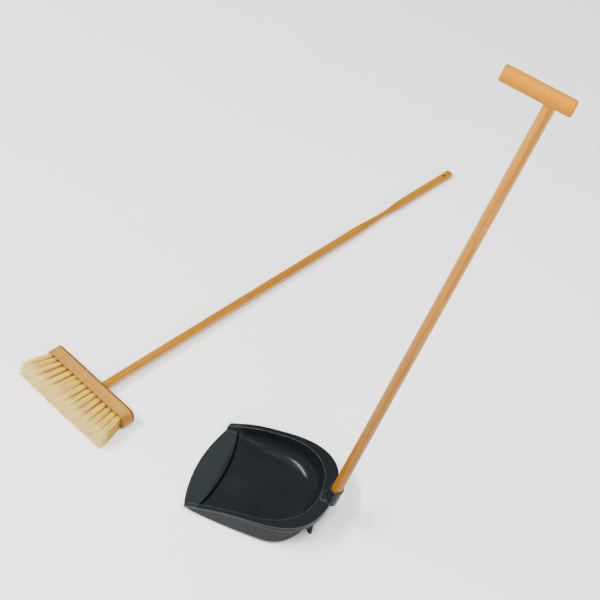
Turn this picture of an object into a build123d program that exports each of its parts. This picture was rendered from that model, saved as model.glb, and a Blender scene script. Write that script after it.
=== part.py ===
from build123d import *
import os
from math import sin, cos, tan, atan2, degrees, radians, sqrt, pi

# Long-handled dust pan and broom. Millimetres, +Z up, floor at Z = 0.
# The origin is the middle of the pan's flat base. The pan's mouth faces -Y
# and its handle stands at the back, leaning a little away from the mouth.

# ---- pan, driving dimensions ----
FLOOR_T = 3.0          # pan floor
FLANGE_T = 2.6         # turned-out rim
LIP_Y = -111.0         # foremost point of the curved lip
LIP_Z = 1.0            # lip thickness at its edge
CREASE_Y = -62.0       # back edge of the ramp, at the middle
CREASE_SAG = 12.0      # how far its ends fall forward
CREASE_Z = 7.0         # height of the ramp's back edge
CAVITY_FRONT = -135.0
# half outlines in plan, right corner of the mouth to the middle of the back
RIM = [(98.5, -93), (101, -60), (101.2, -20), (101.2, 12), (100.5, 36), (97, 62),
       (88, 87), (73.5, 106), (51, 120), (26, 126.8), (0, 128.5)]
TOP_IN = [(92, -93), (93.5, -60), (93.5, -20), (92.5, 12), (90.5, 36), (84, 59),
          (70, 81), (52, 96), (34, 103.5), (17, 107), (0, 108)]
FLOOR_IN = [(90, -93), (89.5, -60), (88.5, -20), (86.5, 10), (82.5, 32), (75, 53),
            (62, 71), (46, 83), (30, 90), (15, 93), (0, 94)]
WALL_OUT = [(93, -93), (97.5, -60), (99.5, -20), (100, 12), (99.5, 36), (96, 60),
            (85.5, 78.5), (65, 94.5), (37, 106.2), (17.5, 109.7), (0, 110.7)]
# radius between wall and floor, point by point along the outlines
BEND_R = [5, 9, 18, 20, 21, 22, 23, 24, 25, 26, 26]
BEND_OUT = [3, 4, 6, 7, 8, 8, 8, 9, 10, 10, 10]
BELLY = 1.0            # the inner walls bow out by this half way up
# height of the rim along the pan
RIM_Z = [(-118, 9.0), (-93, 13), (-60, 26), (-20, 37.5), (20, 44.5), (60, 48),
         (100, 49), (140, 49)]
BACK_Z = 49.0          # the rim's height at the back
SKIRT_T = 2.2          # the flange's edge is turned down towards the back
SKIRT_Z = 39.0         # lower edge of that skirt
TOP_Z = 58.0           # where the top outline is drawn, above the rim
LEVELS = (0, 1.2, 4.0, 9.5, 18.0, 26.0, 55.0)        # above the inner floor
LEVELS_OUT = (0, 0.5, 1.6, 4.0, 7.0, 10.0, 58.0)     # above the ground


# ---- pan handle and grip ----
LEAN = 10.0            # handle lean from upright, degrees
SOCKET_Y = 132.1
SOCKET_Z = 81.7        # mouth of the socket
SOCKET_L = 38.5
SOCKET_R = 11.6
SOCKET_DEPTH = 34.0
STICK_R = 9.25         # pan handle, 18.5 mm dowel
STICK_L = 956.0        # socket mouth to grip axis
FIT = 0.05             # clearance of a wooden end in its bore
SCREW_DOWN = 18.0      # socket screw below the mouth
GRIP_R = 12.8
GRIP_L = 108.0
GRIP_OFF = 23.0        # grip middle sits forward of the handle
GRIP_BORE = 4.0        # how far the handle passes the grip axis
PIN_DOWN = 4.5         # grip pin below the grip axis

LOW = (Align.CENTER, Align.CENTER, Align.MIN)

# ---- broom ----
BROOM_AT = (-62.0, -321.0)
BROOM_YAW = 156.3      # direction of the broom handle on the floor
HEAD_L = 200.0
HEAD_T = 32.0
BLOCK_H = 20.0         # drilled block
COVER_H = 5.0          # back board glued on it
HEAD_R = 13.0
HEAD_OFF = 13.0        # the stick stands this far from the middle of the head
BSTICK_R = 8.0
BSTICK_L = 888.0
TENON = 14.0
WAIST_AT = 705.0
PADDLE_AT = 755.0
WAIST_R = 5.2
PADDLE_T = 9.0         # thickness left between the flats
HANG_R = 2.6
HANG_IN = 18.0         # hanging hole from the tip
ROWS = 5
ROW_PITCH = 5.4
TUFTS = (15, 14, 15, 14, 15)
TUFT_PITCH = 12.6
TUFT_R = 2.6
TUFT_TIP_R = 3.7
TUFT_L = 59.0
BORE_R = 2.65
BORE_DEPTH = 10.0
FAN = 12.0             # fan of the end tufts, degrees
ROW_TILT = 1.1         # tilt of each row against the next, degrees
ANCHOR_R = 0.5
ANCHOR_L = 7.2
ANCHOR_DEPTH = 8.4


def out(shape, name):
    export_step(shape, "parts/" + name + ".step")
    print(name, round(shape.volume, 1), len(shape.solids()), "solids", shape.is_valid)


def mix(a, b, t):
    return [(p[0] + (q[0] - p[0]) * t, p[1] + (q[1] - p[1]) * t) for p, q in zip(a, b)]


def grow(side, d):
    """Half outline moved outward by d, a number or one number for each point."""
    res = []
    n = len(side)
    for i in range(n):
        di = d[i] if isinstance(d, list) else d
        a = side[max(i - 1, 0)]
        b = side[min(i + 1, n - 1)]
        if i == n - 1:
            b = (-side[n - 2][0], side[n - 2][1])
        tx = b[0] - a[0]
        ty = b[1] - a[1]
        ln = sqrt(tx * tx + ty * ty)
        if i == 0:
            res.append((side[0][0] + di, side[0][1]))
        else:
            res.append((side[i][0] + ty / ln * di, side[i][1] - tx / ln * di))
    return res


def bend_inset(r, h):
    """How far a bend of radius r still stands in from the wall at height h."""
    if h >= r:
        return 0.0
    return r - sqrt(r * r - (r - h) * (r - h))


def bowl_level(h):
    """Inner wall outline at height h above the pan's floor."""
    t = h / (TOP_Z - FLOOR_T)
    belly = BELLY * sin(pi * t)
    d = [belly - bend_inset(r, h) for r in BEND_R]
    return grow(mix(FLOOR_IN, TOP_IN, t), d)


def skin_level(h):
    """Outer wall outline at height h above the ground."""
    return grow(WALL_OUT, [-bend_inset(r, h) for r in BEND_OUT])


def plan_face(side, z, front):
    """Face at height z: spline round the sides and back, straight to the front."""
    pts = [(x, y, z) for x, y in side] + [(-x, y, z) for x, y in reversed(side[:-1])]
    x0 = side[0][0]
    y0 = side[0][1]
    rim = Spline(*pts)
    left = Line((-x0, y0, z), (-x0, front, z))
    across = Line((-x0, front, z), (x0, front, z))
    right = Line((x0, front, z), (x0, y0, z))
    return Face(Wire([rim, left, across, right]))


def side_prism(points, half=130.0):
    """Straight-sided outline in the YZ plane, extruded both ways along X."""
    wire = Polyline(*[(0, y, z) for y, z in points], close=True)
    return extrude(make_face(wire), amount=half, dir=(1, 0, 0), both=True)


def rim_band(low, high):
    """Slab between the rim line moved by low and by high, the full width."""
    a = Spline(*[(0, y, z + low) for y, z in RIM_Z])
    b = Spline(*[(0, y, z + high) for y, z in RIM_Z])
    y0, z0 = RIM_Z[0]
    y1, z1 = RIM_Z[-1]
    e0 = Line((0, y0, z0 + low), (0, y0, z0 + high))
    e1 = Line((0, y1, z1 + low), (0, y1, z1 + high))
    return extrude(Face(Wire([a, e1, b, e0])), amount=130, dir=(1, 0, 0), both=True)


def footprint(inset=0.0):
    """Everything inside the flange and the curved lip, as a tall prism."""
    side = grow(RIM, -inset)
    pts = [(x, y, 0) for x, y in side] + [(-x, y, 0) for x, y in reversed(side[:-1])]
    x0 = side[0][0]
    y0 = side[0][1]
    rim = Spline(*pts)
    lip = ThreePointArc((-x0, y0, 0), (0, LIP_Y, 0), (x0, y0, 0))
    return extrude(Face(Wire([rim, lip])), amount=80)


def lip_zone(half, back, front, height):
    """Prism of the ramp, from the lip to the curved crease."""
    y1 = back - CREASE_SAG
    crease = ThreePointArc((half, y1, 0), (0, back, 0), (-half, y1, 0))
    left = Line((-half, y1, 0), (-half, front, 0))
    low = Line((-half, front, 0), (half, front, 0))
    right = Line((half, front, 0), (half, y1, 0))
    face = Face(Wire([crease, left, low, right]))
    return Pos(0, 0, -1) * extrude(face, amount=height + 1)


def cross_hole(at, r, x0, x1):
    """Cylinder across the handle at height at, from x0 to x1."""
    return Pos(x0, 0, at) * Rot(0, 90, 0) * Cylinder(r, x1 - x0, align=LOW)


def socket_plane():
    return Plane(origin=(0, SOCKET_Y, SOCKET_Z), x_dir=(1, 0, 0),
                 z_dir=(0, sin(radians(LEAN)), cos(radians(LEAN))))


def pan_shell():
    inner = [plan_face(bowl_level(h), FLOOR_T + h, CAVITY_FRONT) for h in LEVELS]
    outer = [plan_face(skin_level(h), h, CAVITY_FRONT) for h in LEVELS_OUT]
    # rounded bend below, straight-ruled wall above it
    cavity = loft(inner[:-1]) + loft(inner[-2:], ruled=True)
    outer = loft(outer[:-1]) + loft(outer[-2:], ruled=True)
    foot = footprint()
    body = (outer & foot) - rim_band(0, 80)
    flange = rim_band(-FLANGE_T, 0) & foot
    skirt = (rim_band(-12.0, -0.5) & foot) - footprint(SKIRT_T)
    skirt = skirt & (Pos(0, 100, SKIRT_Z + 20) * Box(260, 200, 40))
    flange = flange + skirt
    body = (body + flange) - cavity
    # ramp: the flat floor in front of the crease gives way to a thin slope
    slope = (CREASE_Z - LIP_Z) / (CREASE_Y - LIP_Y)
    zone = lip_zone(84.0, CREASE_Y, -130, FLOOR_T + 0.01)
    body = body - zone
    y0 = LIP_Y - 4
    z0 = LIP_Z - 4 * slope
    y1 = CREASE_Y + 2
    wedge = side_prism([(y0, 0), (y0, z0), (y1, CREASE_Z + 2 * slope), (y1, 0)])
    wedge = wedge & lip_zone(91.0, CREASE_Y, -130, 20) & foot & outer
    y2 = LIP_Y + 14
    under = side_prism([(y2, -1), (y2, 0), (CREASE_Y, CREASE_Z - 2.3), (CREASE_Y, -1)])
    under = under & lip_zone(80.0, CREASE_Y - 2.4, -130, 20)
    body = body + wedge - under
    # socket and what ties it to the back wall
    pl = socket_plane().location
    tube = pl * Pos(0, 0, -SOCKET_L) * Cone(SOCKET_R - 0.4, SOCKET_R, SOCKET_L, align=LOW)
    top = BACK_Z - 1.5
    web = side_prism([(104, 24), (110, top), (130, top), (126, 42), (116, 24)], 1.6)
    pad = Pos(0, 117, BACK_Z - 1.1) * Box(20, 16, 7)
    pad = fillet(pad.edges().filter_by(Axis.Z), 3)
    gusset = side_prism([(107, 28), (107, top), (122, top)], 1.1)
    foot_rib = side_prism([(98, 27), (98, top), (117, top), (115.5, 0), (110, 0)], 1.5)
    extra = tube + web + pad
    for x in (-20, 20):
        extra = extra + Pos(x, 0, 0) * gusset
    for x in (-45, 45):
        extra = extra + Pos(x, 0, 0) * foot_rib
    extra = extra - cavity
    body = body + extra
    bore = pl * Pos(0, 0, -SOCKET_DEPTH) * Cylinder(STICK_R + FIT, SOCKET_DEPTH + 5, align=LOW)
    bevel = pl * Pos(0, 0, -1.2) * Cone(STICK_R + FIT, STICK_R + FIT + 1.3, 1.3, align=LOW)
    body = body - bore - bevel
    body = body - pl * cross_hole(-SCREW_DOWN, 1.42, -16.0, 0)
    return body


def wood_screw(head_r, head_h, shank_r, length, flat):
    """Screw along -Z, head's outer face at Z = 0, with a cross recess."""
    if flat:
        head = Pos(0, 0, -head_h) * Cone(shank_r, head_r, head_h, align=LOW)
    else:
        head = Pos(0, 0, -head_h) * Cylinder(head_r, head_h, align=LOW)
        head = fillet(head.edges().group_by(Axis.Z)[-1], head_h * 0.55)
    shank = Pos(0, 0, -length + 2) * Cylinder(shank_r, length - 2, align=LOW)
    tip = Pos(0, 0, -length) * Cone(0.2, shank_r, 2, align=LOW)
    screw = head + shank + tip
    for a in (0, 90):
        screw = screw - Rot(0, 0, a) * Box(head_r * 1.1, 0.7, 1.6)
    return screw


def pan_stick():
    """Dowel from the socket's bottom to past the grip axis."""
    low = -(SOCKET_DEPTH - 0.5)
    top = STICK_L + GRIP_BORE
    rod = Pos(0, 0, low) * Cylinder(STICK_R, top - low, align=LOW)
    rod = chamfer(rod.edges().filter_by(GeomType.CIRCLE), 0.8)
    rod = rod - cross_hole(-SCREW_DOWN, 1.42, -14.0, 2.1)
    return rod - cross_hole(STICK_L - PIN_DOWN, 1.02, -34.0, 6.0)


def pan_grip():
    bar = Pos(0, -GRIP_OFF, STICK_L) * Rot(90, 0, 0) * Cylinder(GRIP_R, GRIP_L)
    bar = fillet(bar.edges().filter_by(GeomType.CIRCLE), 3.2)
    bar = bar - Pos(0, 0, STICK_L - 30) * Cylinder(STICK_R + FIT, 30 + GRIP_BORE + 0.4, align=LOW)
    return bar - cross_hole(STICK_L - PIN_DOWN, 1.02, -34.0, 6.0)


def grip_pin():
    pin = Cylinder(1.0, 17.5, align=LOW)
    pin = chamfer(pin.edges().filter_by(GeomType.CIRCLE), 0.2)
    return Pos(-11.6, 0, STICK_L - PIN_DOWN) * Rot(0, 90, 0) * pin


def socket_screw():
    s = wood_screw(3.2, 2.0, 1.4, 15.5, False)
    # head outside the socket wall on the -X side, shank running towards +X
    return Pos(-13.65, 0, -SCREW_DOWN) * Rot(0, -90, 0) * s


# ---- broom, in its own frame: X along the handle, Y along the head, Z up ----

def broom_place():
    tilt = degrees(atan2(HEAD_T / 2 - BSTICK_R, WAIST_AT - 80))
    at = Location((BROOM_AT[0], BROOM_AT[1], 0.02), (0, 0, BROOM_YAW))
    return at * Location((0, 0, 0), (0, tilt, 0))


def head_slab(x0, x1, edge_front, edge_back):
    face = Plane.YZ * RectangleRounded(HEAD_L, HEAD_T, HEAD_R)
    slab = Pos(x0, HEAD_OFF, HEAD_T / 2) * extrude(face, amount=x1 - x0)
    if edge_back:
        slab = fillet(slab.faces().sort_by(Axis.X)[-1].edges(), edge_back)
    if edge_front:
        slab = fillet(slab.faces().sort_by(Axis.X)[0].edges(), edge_front)
    return slab


def tuft_spots():
    """Row number, mouth of each bore and its outward axis."""
    spots = []
    half = (max(TUFTS) - 1) / 2 * TUFT_PITCH
    for k in range(ROWS):
        n = TUFTS[k]
        z = HEAD_T / 2 + (k - 2) * ROW_PITCH
        for j in range(n):
            y = (j - (n - 1) / 2) * TUFT_PITCH
            fan = radians(FAN * y / half)
            tilt = radians((k - 2) * ROW_TILT)
            d = Vector(-1, tan(fan), tan(tilt)).normalized()
            spots.append((k, j, Vector(-(BLOCK_H + COVER_H), y + HEAD_OFF, z), d))
    return spots


def spot_plane(p, d):
    """Local frame of one bore: Z outward along the tuft, X along the head."""
    x = Vector(0, 1, 0) - d * d.Y
    return Plane(origin=p, x_dir=x.normalized(), z_dir=d).location


def block_and_rows():
    spots = tuft_spots()
    cuts = []
    tufts = [[] for _ in range(ROWS)]
    anchors = [[] for _ in range(ROWS)]
    for k, j, p, d in spots:
        loc = spot_plane(p, d)
        cuts.append(loc * Pos(0, 0, -BORE_DEPTH) * Cylinder(BORE_R, BORE_DEPTH + 3, align=LOW))
        across = loc * Pos(0, 0, -ANCHOR_DEPTH) * Rot(0, 90, 0)
        cuts.append(across * Cylinder(ANCHOR_R + 0.02, ANCHOR_L + 0.04))
        length = TUFT_L + 1.6 * sin(2.3 * j + 1.1 * k) + 1.1 * cos(1.7 * j - 2.0 * k)
        root = Pos(0, 0, -BORE_DEPTH + 0.2) * Cylinder(TUFT_R, BORE_DEPTH - 0.2 + 0.5, align=LOW)
        brush = Pos(0, 0, 0.5) * Cone(TUFT_R, TUFT_TIP_R, length - 0.5, align=LOW)
        brush = fillet(brush.edges().group_by(Axis.Z)[-1], 1.6)
        tuft = (root + brush) - Pos(0, 0, -ANCHOR_DEPTH) * Rot(0, 90, 0) * Cylinder(ANCHOR_R + 0.03, 8)
        tufts[k].append(loc * tuft)
        anchors[k].append(across * Cylinder(ANCHOR_R, ANCHOR_L))
    block = head_slab(-(BLOCK_H + COVER_H), -COVER_H, 2.0, 0)
    tenon = Pos(-TENON, 0, HEAD_T / 2) * Rot(0, 90, 0) * Cylinder(BSTICK_R + FIT, TENON + 5, align=LOW)
    screw_hole = Pos(-10.0, 0, 0.3) * Rot(180, 0, 0) * (
        Pos(0, 0, -2.4) * Cone(1.52, 3.3, 2.4, align=LOW) + Pos(0, 0, -23) * Cylinder(1.52, 21, align=LOW)
        + Cylinder(3.3, 1, align=LOW))
    block = block - cuts - tenon - screw_hole
    cover = head_slab(-COVER_H, 0, 0, 2.4) - tenon
    return block, cover, tufts, anchors


def broom_stick():
    """Turned along X, then milled flat on two sides towards the tip."""
    x0 = -TENON + 0.3
    x1 = WAIST_AT - 80
    x2 = BSTICK_L - 3
    r = BSTICK_R
    start = Polyline((x0, 0), (x0, r - 0.8), (x0 + 0.8, r), (x1, r))
    neck = Spline((x1, r), (WAIST_AT, WAIST_R), (PADDLE_AT, r), tangents=((1, 0), (1, 0)))
    blade = Line((PADDLE_AT, r), (x2, r))
    tip = ThreePointArc((x2, r), (BSTICK_L - 0.9, r - 0.9), (BSTICK_L, r - 3))
    close = Polyline((BSTICK_L, r - 3), (BSTICK_L, 0), (x0, 0))
    outline = make_face([start, neck, blade, tip, close])
    stick = revolve(outline, Axis.X)
    h = PADDLE_T / 2
    x3 = WAIST_AT - 6
    x4 = BSTICK_L + 4
    ease = Spline((x3, 0, WAIST_R + 1.5), (PADDLE_AT, 0, h), tangents=((1, 0, -0.08), (1, 0, 0)))
    rest = Polyline((PADDLE_AT, 0, h), (x4, 0, h), (x4, 0, 14), (x3, 0, 14), (x3, 0, WAIST_R + 1.5))
    side = extrude(make_face([ease, rest]), amount=20, dir=(0, 1, 0), both=True)
    stick = stick - side - mirror(side, about=Plane.XY)
    stick = Pos(0, 0, HEAD_T / 2) * stick
    stick = stick - Pos(BSTICK_L - HANG_IN, 0, HEAD_T / 2) * Cylinder(HANG_R, 30)
    return stick - Pos(-10.0, 0, 0) * Cylinder(1.52, 23.3, align=LOW)


def broom_screw():
    s = wood_screw(3.25, 2.3, 1.5, 22.0, True)
    return Pos(-10.0, 0, 0.35) * Rot(180, 0, 0) * s


def main():
    os.makedirs("parts", exist_ok=True)
    pl = socket_plane().location
    out(pan_shell(), "pan_shell")
    out(pl * pan_stick(), "pan_handle")
    out(pl * pan_grip(), "pan_grip")
    out(pl * grip_pin(), "pan_grip_pin")
    out(pl * socket_screw(), "pan_socket_screw")
    at = broom_place()
    block, cover, tufts, anchors = block_and_rows()
    out(at * block, "broom_block")
    out(at * cover, "broom_back_board")
    out(at * broom_stick(), "broom_handle")
    out(at * broom_screw(), "broom_handle_screw")
    for k in range(ROWS):
        out(Compound([at * t for t in tufts[k]]), "tuft_row_%d" % (k + 1))
        out(Compound([at * t for t in anchors[k]]), "tuft_anchors_row_%d" % (k + 1))


main()
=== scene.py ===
import random
from math import atan2, cos, pi, radians, sin, sqrt, tan

import bpy
from mathutils import Matrix, Vector


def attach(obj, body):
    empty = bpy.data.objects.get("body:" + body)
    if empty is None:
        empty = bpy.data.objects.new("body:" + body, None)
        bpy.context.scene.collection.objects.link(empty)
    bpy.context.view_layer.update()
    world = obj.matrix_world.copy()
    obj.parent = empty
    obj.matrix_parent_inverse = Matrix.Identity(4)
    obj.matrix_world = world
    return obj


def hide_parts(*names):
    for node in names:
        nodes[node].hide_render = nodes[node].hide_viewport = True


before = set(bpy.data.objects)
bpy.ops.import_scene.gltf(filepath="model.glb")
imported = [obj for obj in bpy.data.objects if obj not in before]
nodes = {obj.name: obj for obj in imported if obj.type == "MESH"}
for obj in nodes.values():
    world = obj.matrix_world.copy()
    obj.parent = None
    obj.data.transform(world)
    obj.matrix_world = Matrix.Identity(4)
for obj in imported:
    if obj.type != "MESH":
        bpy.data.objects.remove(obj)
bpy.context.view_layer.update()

# ---- the broom's own frame, as in the CAD: X along the stick, Y along the head ----
BROOM_AT = (-0.062, -0.321, 0.00002)
BROOM_YAW = 156.3
HEAD_L = 0.200
HEAD_T = 0.032
HEAD_D = 0.025         # depth of block and board together
HEAD_OFF = 0.013       # middle of the head from the stick's axis
BROOM_TILT = atan2(0.008, 0.625)    # brings the stick down to the floor 0.625 m along
PITCH = 0.0126         # of the tufts in a row
ROW_PITCH = 0.0054
TUFTS = (15, 14, 15, 14, 15)
TUFT_L = 0.059
FAN = 12.0             # lean of a row's end tufts, degrees
ROW_TILT = 1.1         # lean of each row against the next, degrees
broom_m = (Matrix.Translation(BROOM_AT) @ Matrix.Rotation(radians(BROOM_YAW), 4, "Z")
           @ Matrix.Rotation(BROOM_TILT, 4, "Y"))

# ---- the pan's crease: its painted shadow line, and how far the line's ends fall forward ----
CREASE_Y = -0.0612
CREASE_SAG = 0.012
CREASE_HALF = 0.084    # half its length

# ---- the pan's stick ----
LEAN = radians(10.0)
SOCKET = Vector((0, 0.1321, 0.0817))
UP_STICK = Vector((0, sin(LEAN), cos(LEAN)))
OUT_STICK = Vector((0, cos(LEAN), -sin(LEAN)))
STICK_L = 0.956        # socket mouth to grip axis

# ---- bristles ----
FILAMENTS = 150        # in a tuft
BUNDLE_R = 0.00225     # radius of a tuft's filaments in the bore
ROOT_IN = 0.0045       # they start this deep
TIP_A = 0.0068         # half spread of a tuft's tips along the row
TIP_B = 0.0042         # and across it
STEPS = (0.0, 0.16, 0.42, 0.72, 1.0)    # cross-sections along a filament
GOLDEN_ANGLE = 2.399963


# ---------------------------------------------------------------- shading helpers

def rgb(code):
    """sRGB hex to linear."""
    res = []
    for i in (0, 2, 4):
        c = int(code[i:i + 2], 16) / 255
        res.append(c / 12.92 if c <= 0.04045 else ((c + 0.055) / 1.055) ** 2.4)
    return (res[0], res[1], res[2], 1.0)


class Shade:
    """A material with one Principled shader and short calls for its nodes."""

    def __init__(self, name):
        self.m = bpy.data.materials.new(name)
        self.m.use_nodes = True
        self.t = self.m.node_tree
        self.t.nodes.clear()
        end = self.t.nodes.new("ShaderNodeOutputMaterial")
        self.b = self.t.nodes.new("ShaderNodeBsdfPrincipled")
        self.t.links.new(self.b.outputs[0], end.inputs[0])
        coord = self.t.nodes.new("ShaderNodeTexCoord")
        self.p = coord.outputs["Object"]

    def put(self, sock, value):
        if isinstance(value, bpy.types.NodeSocket):
            self.t.links.new(value, sock)
        else:
            sock.default_value = value

    def set(self, **values):
        for k, v in values.items():
            self.put(self.b.inputs[k.replace("_", " ")], v)

    def math(self, op, a, b=0.0):
        n = self.t.nodes.new("ShaderNodeMath")
        n.operation = op
        self.put(n.inputs[0], a)
        self.put(n.inputs[1], b)
        return n.outputs[0]

    def add(self, a, b):
        return self.math("ADD", a, b)

    def sub(self, a, b):
        return self.math("SUBTRACT", a, b)

    def mul(self, a, b):
        return self.math("MULTIPLY", a, b)

    def dot(self, origin, axis):
        """Distance of the shaded point along axis from origin, in metres."""
        a = self.t.nodes.new("ShaderNodeVectorMath")
        a.operation = "SUBTRACT"
        self.put(a.inputs[0], self.p)
        a.inputs[1].default_value = origin
        b = self.t.nodes.new("ShaderNodeVectorMath")
        b.operation = "DOT_PRODUCT"
        self.put(b.inputs[0], a.outputs[0])
        b.inputs[1].default_value = axis
        return b.outputs["Value"]

    def scaled(self, u, v, w, ku, kv, kw):
        """Texture point with its own density along each of three directions."""
        return self.vec(self.mul(u, ku), self.mul(v, kv), self.mul(w, kw))

    def vec(self, x, y, z):
        n = self.t.nodes.new("ShaderNodeCombineXYZ")
        for i, v in enumerate((x, y, z)):
            self.put(n.inputs[i], v)
        return n.outputs[0]

    def noise(self, where, scale, detail, rough, twist=0.0):
        n = self.t.nodes.new("ShaderNodeTexNoise")
        self.put(n.inputs["Vector"], where)
        n.inputs["Scale"].default_value = scale
        n.inputs["Detail"].default_value = detail
        n.inputs["Roughness"].default_value = rough
        n.inputs["Distortion"].default_value = twist
        return n.outputs["Fac"]

    def cells(self, where, scale):
        n = self.t.nodes.new("ShaderNodeTexVoronoi")
        n.feature = "F1"
        self.put(n.inputs["Vector"], where)
        n.inputs["Scale"].default_value = scale
        return n.outputs["Distance"]

    def ramp(self, fac, stops, smooth=True):
        n = self.t.nodes.new("ShaderNodeValToRGB")
        n.color_ramp.interpolation = "EASE" if smooth else "LINEAR"
        while len(n.color_ramp.elements) < len(stops):
            n.color_ramp.elements.new(0.5)
        for e, (at, c) in zip(n.color_ramp.elements, stops):
            e.position = at
            e.color = c if isinstance(c, tuple) else (c, c, c, 1.0)
        self.put(n.inputs[0], fac)
        return n.outputs[0]

    def mix(self, fac, a, b, mode="MIX"):
        n = self.t.nodes.new("ShaderNodeMix")
        n.data_type = "RGBA"
        n.blend_type = mode
        self.put(n.inputs[0], fac)
        self.put(n.inputs[6], a)
        self.put(n.inputs[7], b)
        return n.outputs[2]

    def bump(self, height, strength, distance, normal=None):
        n = self.t.nodes.new("ShaderNodeBump")
        n.inputs["Strength"].default_value = strength
        n.inputs["Distance"].default_value = distance
        self.put(n.inputs["Height"], height)
        if normal is not None:
            self.put(n.inputs["Normal"], normal)
        return n.outputs[0]

    def soft_edge(self, radius):
        """Rounded look for moulded or sanded edges."""
        n = self.t.nodes.new("ShaderNodeBevel")
        n.samples = 6
        n.inputs["Radius"].default_value = radius
        return n.outputs[0]

    def edge_mask(self, radius):
        """0 on faces, 1 along corners, where the rounded normal leaves the face's own."""
        geo = self.t.nodes.new("ShaderNodeNewGeometry")
        d = self.t.nodes.new("ShaderNodeVectorMath")
        d.operation = "DOT_PRODUCT"
        self.put(d.inputs[0], self.soft_edge(radius))
        self.put(d.inputs[1], geo.outputs["Normal"])
        return self.ramp(self.sub(1.0, d.outputs["Value"]), [(0.02, 0.0), (0.22, 1.0)])

    def attribute(self, name):
        n = self.t.nodes.new("ShaderNodeAttribute")
        n.attribute_name = name
        return n.outputs["Color"]


def wear(s, low, high):
    """0 to 1 on exposed edges of a dense mesh."""
    g = s.t.nodes.new("ShaderNodeNewGeometry")
    return s.ramp(g.outputs["Pointiness"], [(low, 0.0), (high, 1.0)])


def wood(name, origin, along, side, tones, ring, heart, flecks, rough, coat, gloss,
         edge=0.0006, streak=1.0, rings_at=0.46, shift=None, ends=None, hole=None):
    """Solid wood: growth rings about a line off the piece, fibre streaks, pores, lacquer.

    tones: dark late wood, middle, light early wood, deep pore colour. ring: width of a ring.
    heart: the rings' centre, along side and third. shift: tint at the origin, and how far
    it reaches. ends: painted shade on both rounded ends, where they turn away from the
    light, and half the length. hole: place along the piece and radius of the hanging hole,
    whose bore is painted dark as shade."""
    s = Shade(name)
    along = Vector(along).normalized()
    side = Vector(side).normalized()
    third = along.cross(side)
    w = s.dot(origin, along)
    u = s.dot(origin, side)
    v = s.dot(origin, third)
    # slow wander of the grain along the piece
    slow = s.noise(s.scaled(u, v, w, 12, 12, 3.2), 1.0, 3, 0.5)
    wander = s.mul(s.sub(slow, 0.5), 0.022)
    du = s.add(s.sub(u, heart[0]), wander)
    dv = s.sub(v, heart[1])
    r = s.math("SQRT", s.add(s.mul(du, du), s.mul(dv, dv)))
    uneven = s.noise(s.vec(s.mul(r, 260), 0.0, s.mul(w, 1.5)), 1.0, 2, 0.5)
    phase = s.add(s.mul(r, 2 * pi / ring), s.mul(uneven, 4.0))
    rings = s.add(s.mul(s.math("SINE", phase), 0.5), 0.5)
    rings = s.ramp(rings, [(0.0, 0.0), (0.55, 0.35), (0.9, 0.85), (1.0, 1.0)])
    fibre = s.noise(s.scaled(u, v, w, 900, 900, 9), 1.0, 5, 0.62)
    broad = s.noise(s.scaled(u, v, w, 240, 240, 2.6), 1.0, 3, 0.5)
    f = s.add(s.mul(rings, rings_at), s.mul(fibre, 0.40 * streak))
    f = s.add(f, s.mul(s.sub(broad, 0.5), 0.75 * streak))
    f = s.add(f, (0.46 - rings_at) * 0.5)
    tone = s.ramp(f, [(0.12, tones[2]), (0.46, tones[1]), (0.86, tones[0])], False)
    if shift is not None:
        near = s.ramp(s.math("DIVIDE", w, shift[1]), [(0.02, 1.0), (1.0, 0.0)], False)
        tone = s.mix(near, tone, shift[0], "MULTIPLY")
    # painted shade: both rounded ends are darkened, where they turn away from the light
    if ends is not None:
        out = s.ramp(s.math("DIVIDE", s.math("ABSOLUTE", w), ends[1]), [(0.86, 0.0), (0.97, 1.0)])
        tone = s.mix(s.mul(out, 0.8), tone, ends[0], "MULTIPLY")
    # open pores and flecks: short dark dashes along the grain
    pore = s.noise(s.scaled(u, v, w, 2600, 2600, 110), 1.0, 2, 0.5)
    pores = s.ramp(pore, [(0.60, 0.0), (0.72, 1.0)])
    tone = s.mix(s.mul(pores, flecks), tone, tones[3])
    if hole is not None:
        # painted shade in the bore of the hanging hole
        dw = s.sub(w, hole[0])
        far = s.math("SQRT", s.add(s.mul(dw, dw), s.mul(u, u)))
        bore_shade = s.ramp(s.math("DIVIDE", far, hole[1]), [(0.80, 1.0), (0.92, 0.0)])
        tone = s.mix(s.mul(bore_shade, 0.92), tone, rgb("140A02"))
    # the lacquer darkens a little where it has gathered, and rubs pale on the edges
    patch = s.noise(s.p, 38, 3, 0.5)
    tone = s.mix(s.mul(s.ramp(patch, [(0.42, 0.0), (0.7, 1.0)]), 0.22), tone, tones[0])
    tone = s.mix(s.mul(wear(s, 0.52, 0.62), 0.25), tone, tones[2])
    grain = s.add(s.mul(fibre, 0.7), s.mul(pores, -0.5))
    rub = s.noise(s.scaled(u, v, w, 160, 160, 22), 1.0, 3, 0.6)
    s.set(Base_Color=tone,
          Roughness=s.ramp(rub, [(0.25, rough - 0.09), (0.75, rough + 0.12)]),
          Normal=s.bump(grain, 0.35, 0.00012, s.soft_edge(edge)))
    # a weak amber reflection keeps the colour full under the pale studio
    s.set(Coat_Weight=coat, Coat_Roughness=gloss, IOR=1.35, Specular_IOR_Level=0.3,
          Specular_Tint=(1.0, 0.74, 0.40, 1.0))
    return s.m


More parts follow.
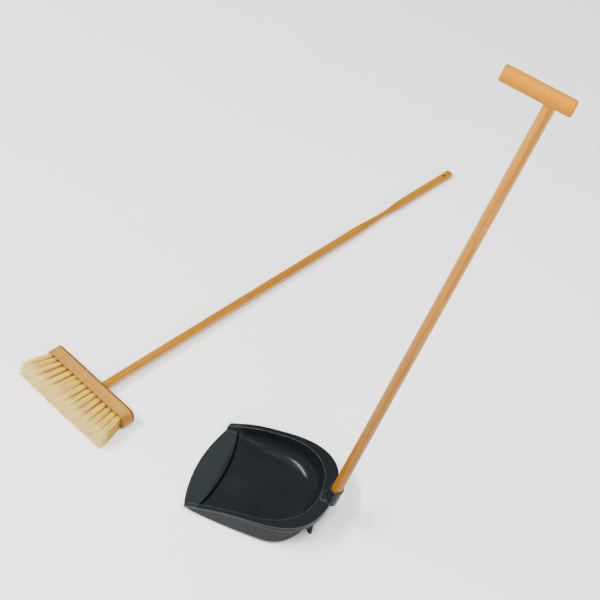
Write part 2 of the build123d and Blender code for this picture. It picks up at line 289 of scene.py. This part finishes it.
def plastic():
    """Charcoal moulded plastic: fine satin texture, flow marks, faint sweeping scratches."""
    s = Shade("pan_plastic")
    cloud = s.noise(s.p, 11, 3, 0.5)
    tone = s.ramp(cloud, [(0.25, rgb("121517")), (0.55, rgb("16191B")), (0.8, rgb("1A1D1F"))])
    x = s.dot((0, 0, 0), (1, 0, 0))
    y = s.dot((0, 0, 0), (0, 1, 0))
    z = s.dot((0, 0, 0), (0, 0, 1))
    # flow marks fan back from the lip
    flow = s.noise(s.scaled(x, y, z, 55, 7, 7), 1.0, 2, 0.4)
    tone = s.mix(s.mul(s.ramp(flow, [(0.45, 0.0), (0.75, 1.0)]), 0.06), tone, rgb("1E2325"))
    # faint scratches from sweeping run front to back, low down on the ramp and the floor
    fine = s.noise(s.scaled(x, y, z, 1700, 26, 60), 1.0, 1, 0.5)
    where = s.noise(s.p, 26, 2, 0.5)
    marks = s.mul(s.ramp(fine, [(0.63, 0.0), (0.70, 1.0)]),
                  s.ramp(where, [(0.40, 0.0), (0.62, 1.0)]))
    low = s.ramp(s.mul(z, 60.0), [(0.15, 1.0), (0.75, 0.0)])
    marks = s.mul(marks, low)
    tone = s.mix(s.mul(marks, 0.05), tone, rgb("3A4042"))
    # painted light: the ramp, from y = -0.076 m forward, is painted a shade lighter than the bowl,
    # where it catches more light
    ramp = s.ramp(s.mul(s.add(y, 0.2), 5.0), [(0.62, 1.0), (0.69, 0.0)])
    tone = s.mix(s.mul(ramp, 0.60), tone, rgb("262C2D"))
    # painted highlight: pale lines along the corners, where rounded edges catch the light
    edges = s.edge_mask(0.0013)
    # painted shadow: the crease is painted as a dark line, and the painted highlight on the corners
    # is kept off it
    sag = s.mul(s.mul(x, x), CREASE_SAG / CREASE_HALF ** 2)
    off = s.math("ABSOLUTE", s.add(s.add(y, sag), -CREASE_Y))
    crease_shadow = s.mul(s.ramp(s.mul(off, 100.0), [(0.10, 1.0), (0.26, 0.0)]),
                   s.ramp(s.mul(z, 60.0), [(0.45, 1.0), (0.60, 0.0)]))
    edges = s.mul(edges, s.sub(1.0, crease_shadow))
    # painted highlight on the corners
    tone = s.mix(s.mul(edges, 0.75), tone, rgb("6E797D"))
    # painted shadow along the crease
    tone = s.mix(s.mul(crease_shadow, 0.9), tone, rgb("020303"))
    dust = s.noise(s.p, 900, 2, 0.5)
    tone = s.mix(s.mul(s.ramp(dust, [(0.66, 0.0), (0.74, 1.0)]), 0.10), tone, rgb("6A6C68"))
    pebble = s.cells(s.p, 1500)
    fine_grain = s.noise(s.p, 3200, 3, 0.6)
    height = s.add(s.mul(pebble, 0.8), s.mul(fine_grain, 0.5))
    height = s.sub(height, s.mul(marks, 0.10))
    n = s.bump(height, 0.18, 0.00010, s.soft_edge(0.0011))
    smear = s.noise(s.p, 17, 3, 0.5)
    rough = s.ramp(smear, [(0.25, 0.17), (0.75, 0.22)])
    rough = s.add(rough, s.mul(marks, 0.05))
    s.set(Base_Color=tone, Roughness=rough, Normal=n)
    s.set(IOR=1.5, Specular_IOR_Level=0.11)
    return s.m


def steel():
    s = Shade("screw_steel")
    spots = s.noise(s.p, 700, 4, 0.6)
    tone = s.ramp(spots, [(0.3, rgb("9A978E")), (0.7, rgb("C9C6BC"))])
    lines = s.noise(s.p, 5200, 2, 0.6, 0.4)
    s.set(Base_Color=tone, Roughness=s.ramp(spots, [(0.3, 0.28), (0.7, 0.44)]),
          Normal=s.bump(lines, 0.3, 0.00004, s.soft_edge(0.00012)))
    s.set(Metallic=1.0)
    return s.m


def fibre_material():
    """Plant fibre: each filament has its own tone, darker near the block, partly its own colour and
    partly painted shade, paler at its tip.
    """
    s = Shade("bristle_fibre")
    sep = s.t.nodes.new("ShaderNodeSeparateColor")
    s.put(sep.inputs[0], s.attribute("tone"))
    own = s.ramp(sep.outputs[0], [(0.0, rgb("E0A822")), (0.35, rgb("F2C234")), (0.75, rgb("FFD648")),
                                  (1.0, rgb("FFE474"))], False)
    t = sep.outputs[1]
    tip = s.ramp(t, [(0.0, 0.0), (0.55, 0.25), (1.0, 1.0)])
    tone = s.mix(s.mul(tip, 0.75), own, rgb("FFEFA4"))
    # darker roots: partly the fibre's own colour, partly painted shade near the block
    root_tone_and_shade = s.ramp(t, [(0.0, 1.0), (0.24, 0.0)])
    tone = s.mix(s.mul(root_tone_and_shade, 0.70), tone, rgb("8E5A0C"))
    # painted shade between neighbouring tufts, fading out before the tips
    tuft_gap_shade = s.mul(s.ramp(sep.outputs[2], [(0.72, 0.0), (0.93, 1.0)]),
                s.ramp(t, [(0.50, 1.0), (0.98, 0.0)]))
    tone = s.mix(s.mul(tuft_gap_shade, 0.88), tone, rgb("5A3204"))
    along = s.noise(s.p, 260, 3, 0.6)
    tone = s.mix(s.mul(s.ramp(along, [(0.45, 0.0), (0.7, 1.0)]), 0.22), tone, rgb("DCA634"))
    ridge = s.noise(s.p, 2600, 2, 0.5)
    s.set(Base_Color=tone, Roughness=s.ramp(along, [(0.3, 0.42), (0.7, 0.62)]),
          Normal=s.bump(ridge, 0.2, 0.00004))
    s.set(Sheen_Weight=0.08, Sheen_Roughness=0.4, Specular_IOR_Level=0.2)
    return s.m


# ---------------------------------------------------------------- bristles

def tuft_axis(k, j):
    """Mouth of a bore and its outward direction, in the broom's frame."""
    half = (max(TUFTS) - 1) / 2 * PITCH
    y = (j - (TUFTS[k] - 1) / 2) * PITCH
    d = Vector((-1, tan(radians(FAN * y / half)), tan(radians((k - 2) * ROW_TILT)))).normalized()
    return Vector((-HEAD_D, y + HEAD_OFF, HEAD_T / 2 + (k - 2) * ROW_PITCH)), d


def add_tube(verts, faces, centres, radii, roll, a, b):
    """Closed three-sided tube through the centres, kept above the floor."""
    base = len(verts)
    for c, rad in zip(centres, radii):
        for m in range(3):
            e = roll + m * 2 * pi / 3
            at = broom_m @ (c + a * (cos(e) * rad) + b * (sin(e) * rad))
            at.z = max(at.z, 0.00015 + 0.00005 * m)
            verts.append(at)
    last = len(centres) - 1
    for g in range(last):
        o = base + g * 3
        for m in range(3):
            m2 = (m + 1) % 3
            faces.append((o + m, o + m2, o + 3 + m2, o + 3 + m))
    faces.append((base + 2, base + 1, base))
    o = base + last * 3
    faces.append((o, o + 1, o + 2))


def bristle_row(k, material):
    """Every filament of one row of tufts, as closed tapered three-sided tubes.

    The point colour "tone" holds the filament's own tone, the place along it from the block
    to the tip, and how near it lies to the neighbouring tuft, which sets the painted shade between
    tufts."""
    rng = random.Random(4100 + k)
    verts = []
    faces = []
    tones = []
    for j in range(TUFTS[k]):
        p, d = tuft_axis(k, j)
        a = (Vector((0, 1, 0)) - d * d.y).normalized()
        b = d.cross(a)
        length = TUFT_L + 0.0005 * sin(2.3 * j + 1.1 * k)
        lean_a = rng.uniform(-0.0016, 0.0016)
        lean_b = rng.uniform(-0.0008, 0.0008)
        shade = rng.uniform(-0.14, 0.14)
        for i in range(FILAMENTS):
            # even spread over the bore
            q = sqrt((i + 0.5) / FILAMENTS)
            ang = i * GOLDEN_ANGLE + rng.uniform(-0.25, 0.25)
            splay = rng.uniform(0.80, 1.22)
            root_a = cos(ang) * BUNDLE_R * q
            root_b = sin(ang) * BUNDLE_R * q
            tip_a = cos(ang) * TIP_A * q * splay + lean_a + rng.gauss(0, 0.0006)
            tip_b = sin(ang) * TIP_B * q * splay + lean_b + rng.gauss(0, 0.0004)
            bow_a = rng.gauss(0, 0.00055)
            bow_b = rng.gauss(0, 0.00045)
            reach = length * rng.uniform(0.955, 1.012) - 0.0012 * q * q
            if rng.random() < 0.05:
                reach *= rng.uniform(0.86, 0.95)
            thick = rng.uniform(0.00021, 0.00030)
            roll = rng.uniform(0, 2 * pi)
            own = min(1.0, max(0.0, rng.gauss(0.5, 0.2) + shade))
            border = abs(cos(ang)) * q
            centres = []
            radii = []
            for t in STEPS:
                spread = t ** 0.36
                bow = sin(pi * t)
                c = p + d * (-ROOT_IN + (reach + ROOT_IN) * t)
                c = c + a * (root_a + (tip_a - root_a) * spread + bow_a * bow)
                c = c + b * (root_b + (tip_b - root_b) * spread + bow_b * bow)
                centres.append(c)
                radii.append(thick * (1.0 - 0.55 * t * t))
                tones += [(own, t, border, 1.0)] * 3
            add_tube(verts, faces, centres, radii, roll, a, b)
    mesh = bpy.data.meshes.new("bristles_row_%d" % (k + 1))
    mesh.from_pydata(verts, [], faces)
    layer = mesh.color_attributes.new("tone", "FLOAT_COLOR", "POINT")
    layer.data.foreach_set("color", [c for tone in tones for c in tone])
    mesh.polygons.foreach_set("use_smooth", [True] * len(mesh.polygons))
    mesh.materials.append(material)
    mesh.validate()
    obj = bpy.data.objects.new(mesh.name, mesh)
    bpy.context.scene.collection.objects.link(obj)
    return obj


def make_bristles():
    material = fibre_material()
    for k in range(len(TUFTS)):
        row = bristle_row(k, material)
        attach(row, "broom")
        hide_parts("tuft_row_%d" % (k + 1))


# ---------------------------------------------------------------- finishes of the CAD nodes

def finish_node(name, material):
    """Give a CAD node its material."""
    o = nodes[name]
    if not o.material_slots:
        o.data.materials.append(material)
    for slot in o.material_slots:
        slot.material = material


def dress():
    finish_node("pan_shell", plastic())
    golden = (rgb("925602"), rgb("B27202"), rgb("C88A10"), rgb("5E3204"))
    finish_node("pan_handle", wood(
        "pan_handle_wood", SOCKET, UP_STICK, (1, 0, 0), golden, ring=0.0030, heart=(0.021, 0.010),
        flecks=0.30, rough=0.30, coat=0.12, gloss=0.16, streak=1.35,
        shift=((0.33, 0.28, 0.60, 1.0), STICK_L)))
    grip = (rgb("985A02"), rgb("A86802"), rgb("B67608"), rgb("6C3E04"))
    at = SOCKET + UP_STICK * STICK_L
    finish_node("pan_grip", wood(
        "pan_grip_wood", at, OUT_STICK, (1, 0, 0), grip, ring=0.0034, heart=(0.034, 0.018),
        flecks=0.22, rough=0.50, coat=0.0, gloss=0.3, streak=0.5, rings_at=0.30))
    along = broom_m.to_3x3() @ Vector((1, 0, 0))
    across = broom_m.to_3x3() @ Vector((0, 1, 0))
    start = broom_m @ Vector((0, 0, HEAD_T / 2))
    amber = (rgb("784600"), rgb("955D02"), rgb("B2780E"), rgb("442400"))
    # the hanging hole's bore gets painted shade
    finish_node("broom_handle", wood(
        "broom_handle_wood", start, along, across, amber, ring=0.0028, heart=(0.019, 0.014),
        flecks=0.28, rough=0.22, coat=0.65, gloss=0.08, hole=(0.870, 0.0032)))
    middle = broom_m @ Vector((0, HEAD_OFF, HEAD_T / 2))
    beech = (rgb("885A20"), rgb("9E7230"), rgb("B08444"), rgb("623A10"))
    # the block's rounded ends get painted shade
    finish_node("broom_block", wood(
        "broom_block_wood", middle, across, along, beech, ring=0.0042, heart=(-0.060, 0.035),
        flecks=0.50, rough=0.44, coat=0.05, gloss=0.28, edge=0.0008, rings_at=0.16,
        ends=((0.62, 0.42, 0.26, 1.0), HEAD_L / 2)))
    # painted shade: the back board gets a darker copy of the wood, standing in for the shaded side
    # of the head
    dark = (rgb("4E300A"), rgb("664412"), rgb("7C5824"), rgb("2E1C04"))
    finish_node("broom_back_board", wood(
        "broom_back_board_shaded_wood", middle, across, along, dark, ring=0.0030, heart=(0.050, -0.030),
        flecks=0.45, rough=0.42, coat=0.05, gloss=0.25, edge=0.0008, rings_at=0.24))
    metal = steel()
    for name in nodes:
        if name.endswith("screw") or name.endswith("pin") or name.startswith("tuft_anchors"):
            finish_node(name, metal)


# ---------------------------------------------------------------- floor, lights, camera

def make_floor():
    bpy.ops.mesh.primitive_plane_add(size=14, location=(0, 0, 0))
    floor = bpy.context.object
    floor.name = "floor"
    s = Shade("floor_paint")
    cloud = s.noise(s.p, 1.4, 3, 0.5)
    s.set(Base_Color=s.ramp(cloud, [(0.3, rgb("FCFCFC")), (0.7, rgb("FFFFFF"))]), Roughness=0.9)
    floor.data.materials.append(s.m)


def area(name, at, target, size, power, tint=(1, 1, 1)):
    """Rectangular light at a point, facing the target."""
    data = bpy.data.lights.new(name, "AREA")
    data.shape = "RECTANGLE"
    data.size = size[0]
    data.size_y = size[1]
    data.energy = power
    data.color = tint
    lamp = bpy.data.objects.new(name, data)
    lamp.location = at
    look = Vector(target) - Vector(at)
    lamp.rotation_euler = look.to_track_quat("-Z", "Y").to_euler()
    bpy.context.scene.collection.objects.link(lamp)


def make_lights():
    mid = (-0.2, 0.0, 0.3)
    area("key", (1.0, -2.4, 3.0), mid, (2.2, 0.3), 235, (1.0, 0.985, 0.96))
    area("side", (2.8, 2.2, 2.0), mid, (1.6, 1.6), 90, (0.97, 0.985, 1.0))
    area("top", (0.5, 0.5, 3.4), mid, (2.0, 2.0), 160)
    world = bpy.data.worlds.new("studio")
    bpy.context.scene.world = world
    world.use_nodes = True
    world.node_tree.nodes["Background"].inputs[0].default_value = (1.0, 1.0, 1.0, 1.0)
    world.node_tree.nodes["Background"].inputs[1].default_value = 0.42


def make_camera():
    # looks down at 47 degrees from the +X side, rolled a little
    forward = Vector((-0.66072, -0.16783, -0.73163)).normalized()
    right = Vector((-0.37333, 0.91906, 0.12632)).normalized()
    up = right.cross(forward)
    data = bpy.data.cameras.new("camera")
    data.sensor_width = 36.0
    data.lens = 131.62
    data.clip_start = 0.1
    data.clip_end = 50.0
    cam = bpy.data.objects.new("camera", data)
    m = Matrix((right, up, -forward)).transposed().to_4x4()
    m.translation = Vector((2.1940, 0.5685, 2.9067))
    cam.matrix_world = m
    bpy.context.scene.collection.objects.link(cam)
    bpy.context.scene.camera = cam


make_camera()
make_floor()
make_lights()
make_bristles()
dress()
